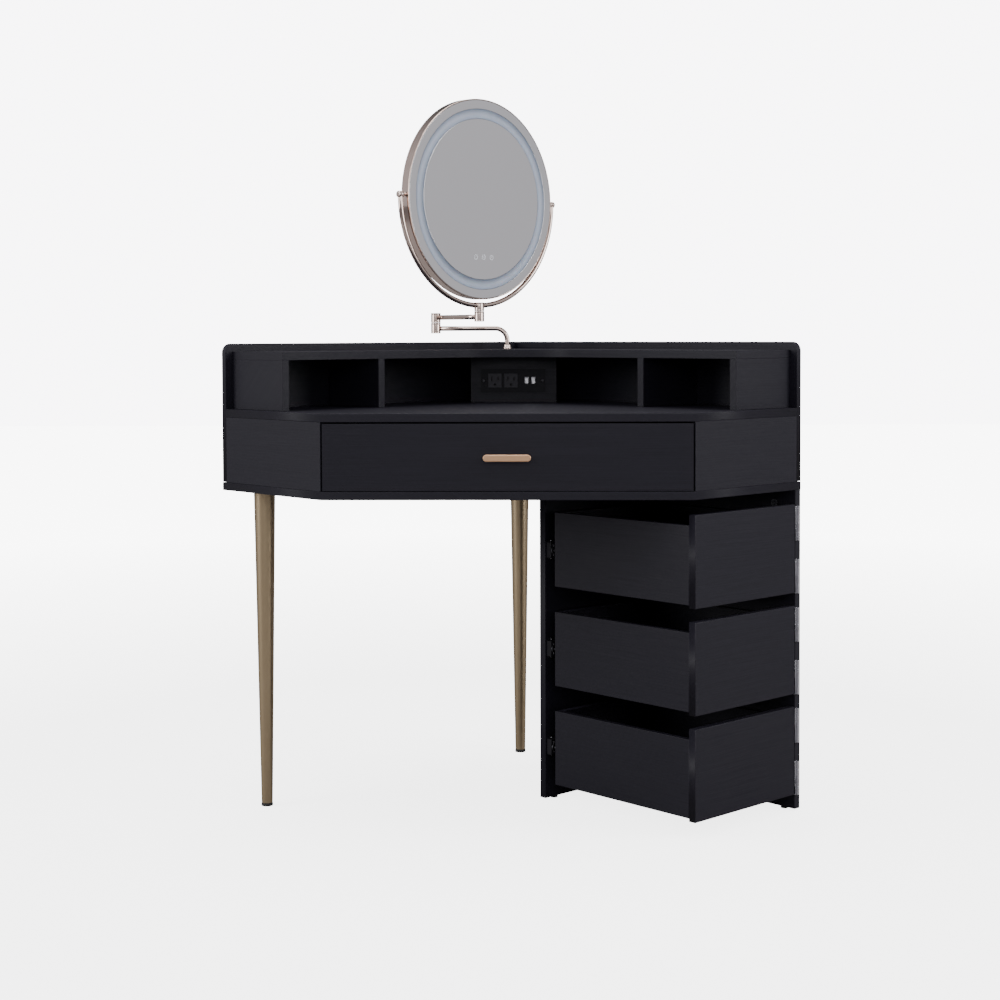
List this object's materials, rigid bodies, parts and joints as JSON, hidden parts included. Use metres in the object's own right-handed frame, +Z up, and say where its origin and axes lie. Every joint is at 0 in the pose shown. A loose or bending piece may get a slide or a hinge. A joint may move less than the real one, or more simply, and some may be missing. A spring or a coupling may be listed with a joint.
{
  "type": "vanity table with mirror",
  "caption": "Corner vanity table with a hutch, a front drawer, a stack of swing-out drawers, tapered legs and a lit round mirror on a jointed arm.",
  "frame": {"origin": "centre of the plan's bounding box, on the floor", "axes": "+Z up; -Y is the front, where the sitter is; +X is the sitter's right. The two room walls meet at +Y on the middle line, each at 45 degrees."},
  "size_m": [1.0748, 0.7742, 1.36],
  "materials": {
    "black_laminate": "satin black wood-grain laminate on board",
    "drawer_board": "matt black laminate on board",
    "bronze_leg": "satin antique gold",
    "black_rubber": "matt",
    "black_plastic": "fine matt",
    "rose_gold": "satin rose gold",
    "steel_fittings": "zinc plated",
    "polished_nickel": "polished warm nickel",
    "nickel_cover": "satin nickel",
    "mirror_glass": "silvered glass",
    "frosted_light": "frosted diffuser"
  },
  "bodies": {
    "desk": {"bottom_board": "black_laminate", "desktop": "black_laminate", "back_panel_left": "black_laminate", "back_panel_right": "black_laminate", "end_panel_left": "black_laminate", "end_panel_right": "black_laminate", "runner_panels": "drawer_board", "hutch_top": "black_laminate", "hutch_ends": "black_laminate", "hutch_dividers": "black_laminate", "socket_panel": "black_laminate", "socket_box_sides": "black_laminate", "power_module": "black_plastic", "power_outlets": "black_plastic", "usb_ports": "steel_fittings", "socket_screws": "black_plastic", "leg_left": "bronze_leg", "leg_rear": "bronze_leg", "leg_plates": "steel_fittings", "leg_feet": "black_rubber", "cabinet_side_panel": "black_laminate", "cabinet_wall_panel": "black_laminate", "floor_glides": "black_rubber", "cam_locks": "steel_fittings", "hinge_frames": "steel_fittings", "hinge_pins": "steel_fittings", "magnetic_catches": "black_plastic", "runner_channels": "steel_fittings", "mirror_base_collar": "polished_nickel", "mirror_base_nut": "steel_fittings"},
    "front_drawer": {"drawer_front": "black_laminate", "drawer_sides": "drawer_board", "drawer_back": "drawer_board", "drawer_bottom": "drawer_board", "drawer_rails": "steel_fittings", "drawer_handle": "rose_gold", "drawer_handle_screws": "steel_fittings"},
    "lower_swing_drawer": {"lower_swing_front": "black_laminate", "lower_swing_sides": "black_laminate", "lower_swing_back": "black_laminate", "lower_swing_bottom": "drawer_board", "lower_swing_fittings": "steel_fittings"},
    "middle_swing_drawer": {"middle_swing_front": "black_laminate", "middle_swing_sides": "black_laminate", "middle_swing_back": "black_laminate", "middle_swing_bottom": "drawer_board", "middle_swing_fittings": "steel_fittings"},
    "upper_swing_drawer": {"upper_swing_front": "black_laminate", "upper_swing_sides": "black_laminate", "upper_swing_back": "black_laminate", "upper_swing_bottom": "drawer_board", "upper_swing_fittings": "steel_fittings"},
    "mirror_lower_link": {"mirror_lower_arm": "polished_nickel"},
    "mirror_upper_link": {"mirror_upper_arm": "polished_nickel"},
    "mirror_yoke": {"mirror_yoke": "polished_nickel"},
    "mirror": {"mirror_case": "polished_nickel", "mirror_back_cover": "nickel_cover", "mirror_glass": "mirror_glass", "mirror_light": "frosted_light", "mirror_electronics": "black_plastic"}
  },
  "joints": [
    {"name": "front_drawer_slide", "type": "slide", "parent": "desk", "child": "front_drawer", "axis": [0, -1, 0], "range_m": [0, 0.3]},
    {"name": "lower_swing_hinge", "type": "hinge", "parent": "desk", "child": "lower_swing_drawer", "pos_m": [0.53252, -0.15918, 0.114], "axis": [0, 0, 1], "range_deg": [0, 90]},
    {"name": "middle_swing_hinge", "type": "hinge", "parent": "desk", "child": "middle_swing_drawer", "pos_m": [0.53252, -0.15918, 0.302], "axis": [0, 0, 1], "range_deg": [0, 90]},
    {"name": "upper_swing_hinge", "type": "hinge", "parent": "desk", "child": "upper_swing_drawer", "pos_m": [0.53252, -0.15918, 0.49], "axis": [0, 0, 1], "range_deg": [0, 90]},
    {"name": "arm_base_swivel", "type": "hinge", "parent": "desk", "child": "mirror_lower_link", "pos_m": [-0.016, 0.26706, 0.866], "axis": [0, 0, 1], "range_deg": [-180, 180]},
    {"name": "arm_elbow_swivel", "type": "hinge", "parent": "mirror_lower_link", "child": "mirror_upper_link", "pos_m": [-0.16495, 0.26316, 0.912], "axis": [0, 0, 1], "continuous": true},
    {"name": "arm_head_swivel", "type": "hinge", "parent": "mirror_upper_link", "child": "mirror_yoke", "pos_m": [-0.06917, 0.14902, 0.935], "axis": [0, 0, 1], "continuous": true},
    {"name": "mirror_tilt", "type": "hinge", "parent": "mirror_yoke", "child": "mirror", "pos_m": [-0.06917, 0.14902, 1.159], "axis": [0.682, 0.7314, 0], "continuous": true}
  ]
}
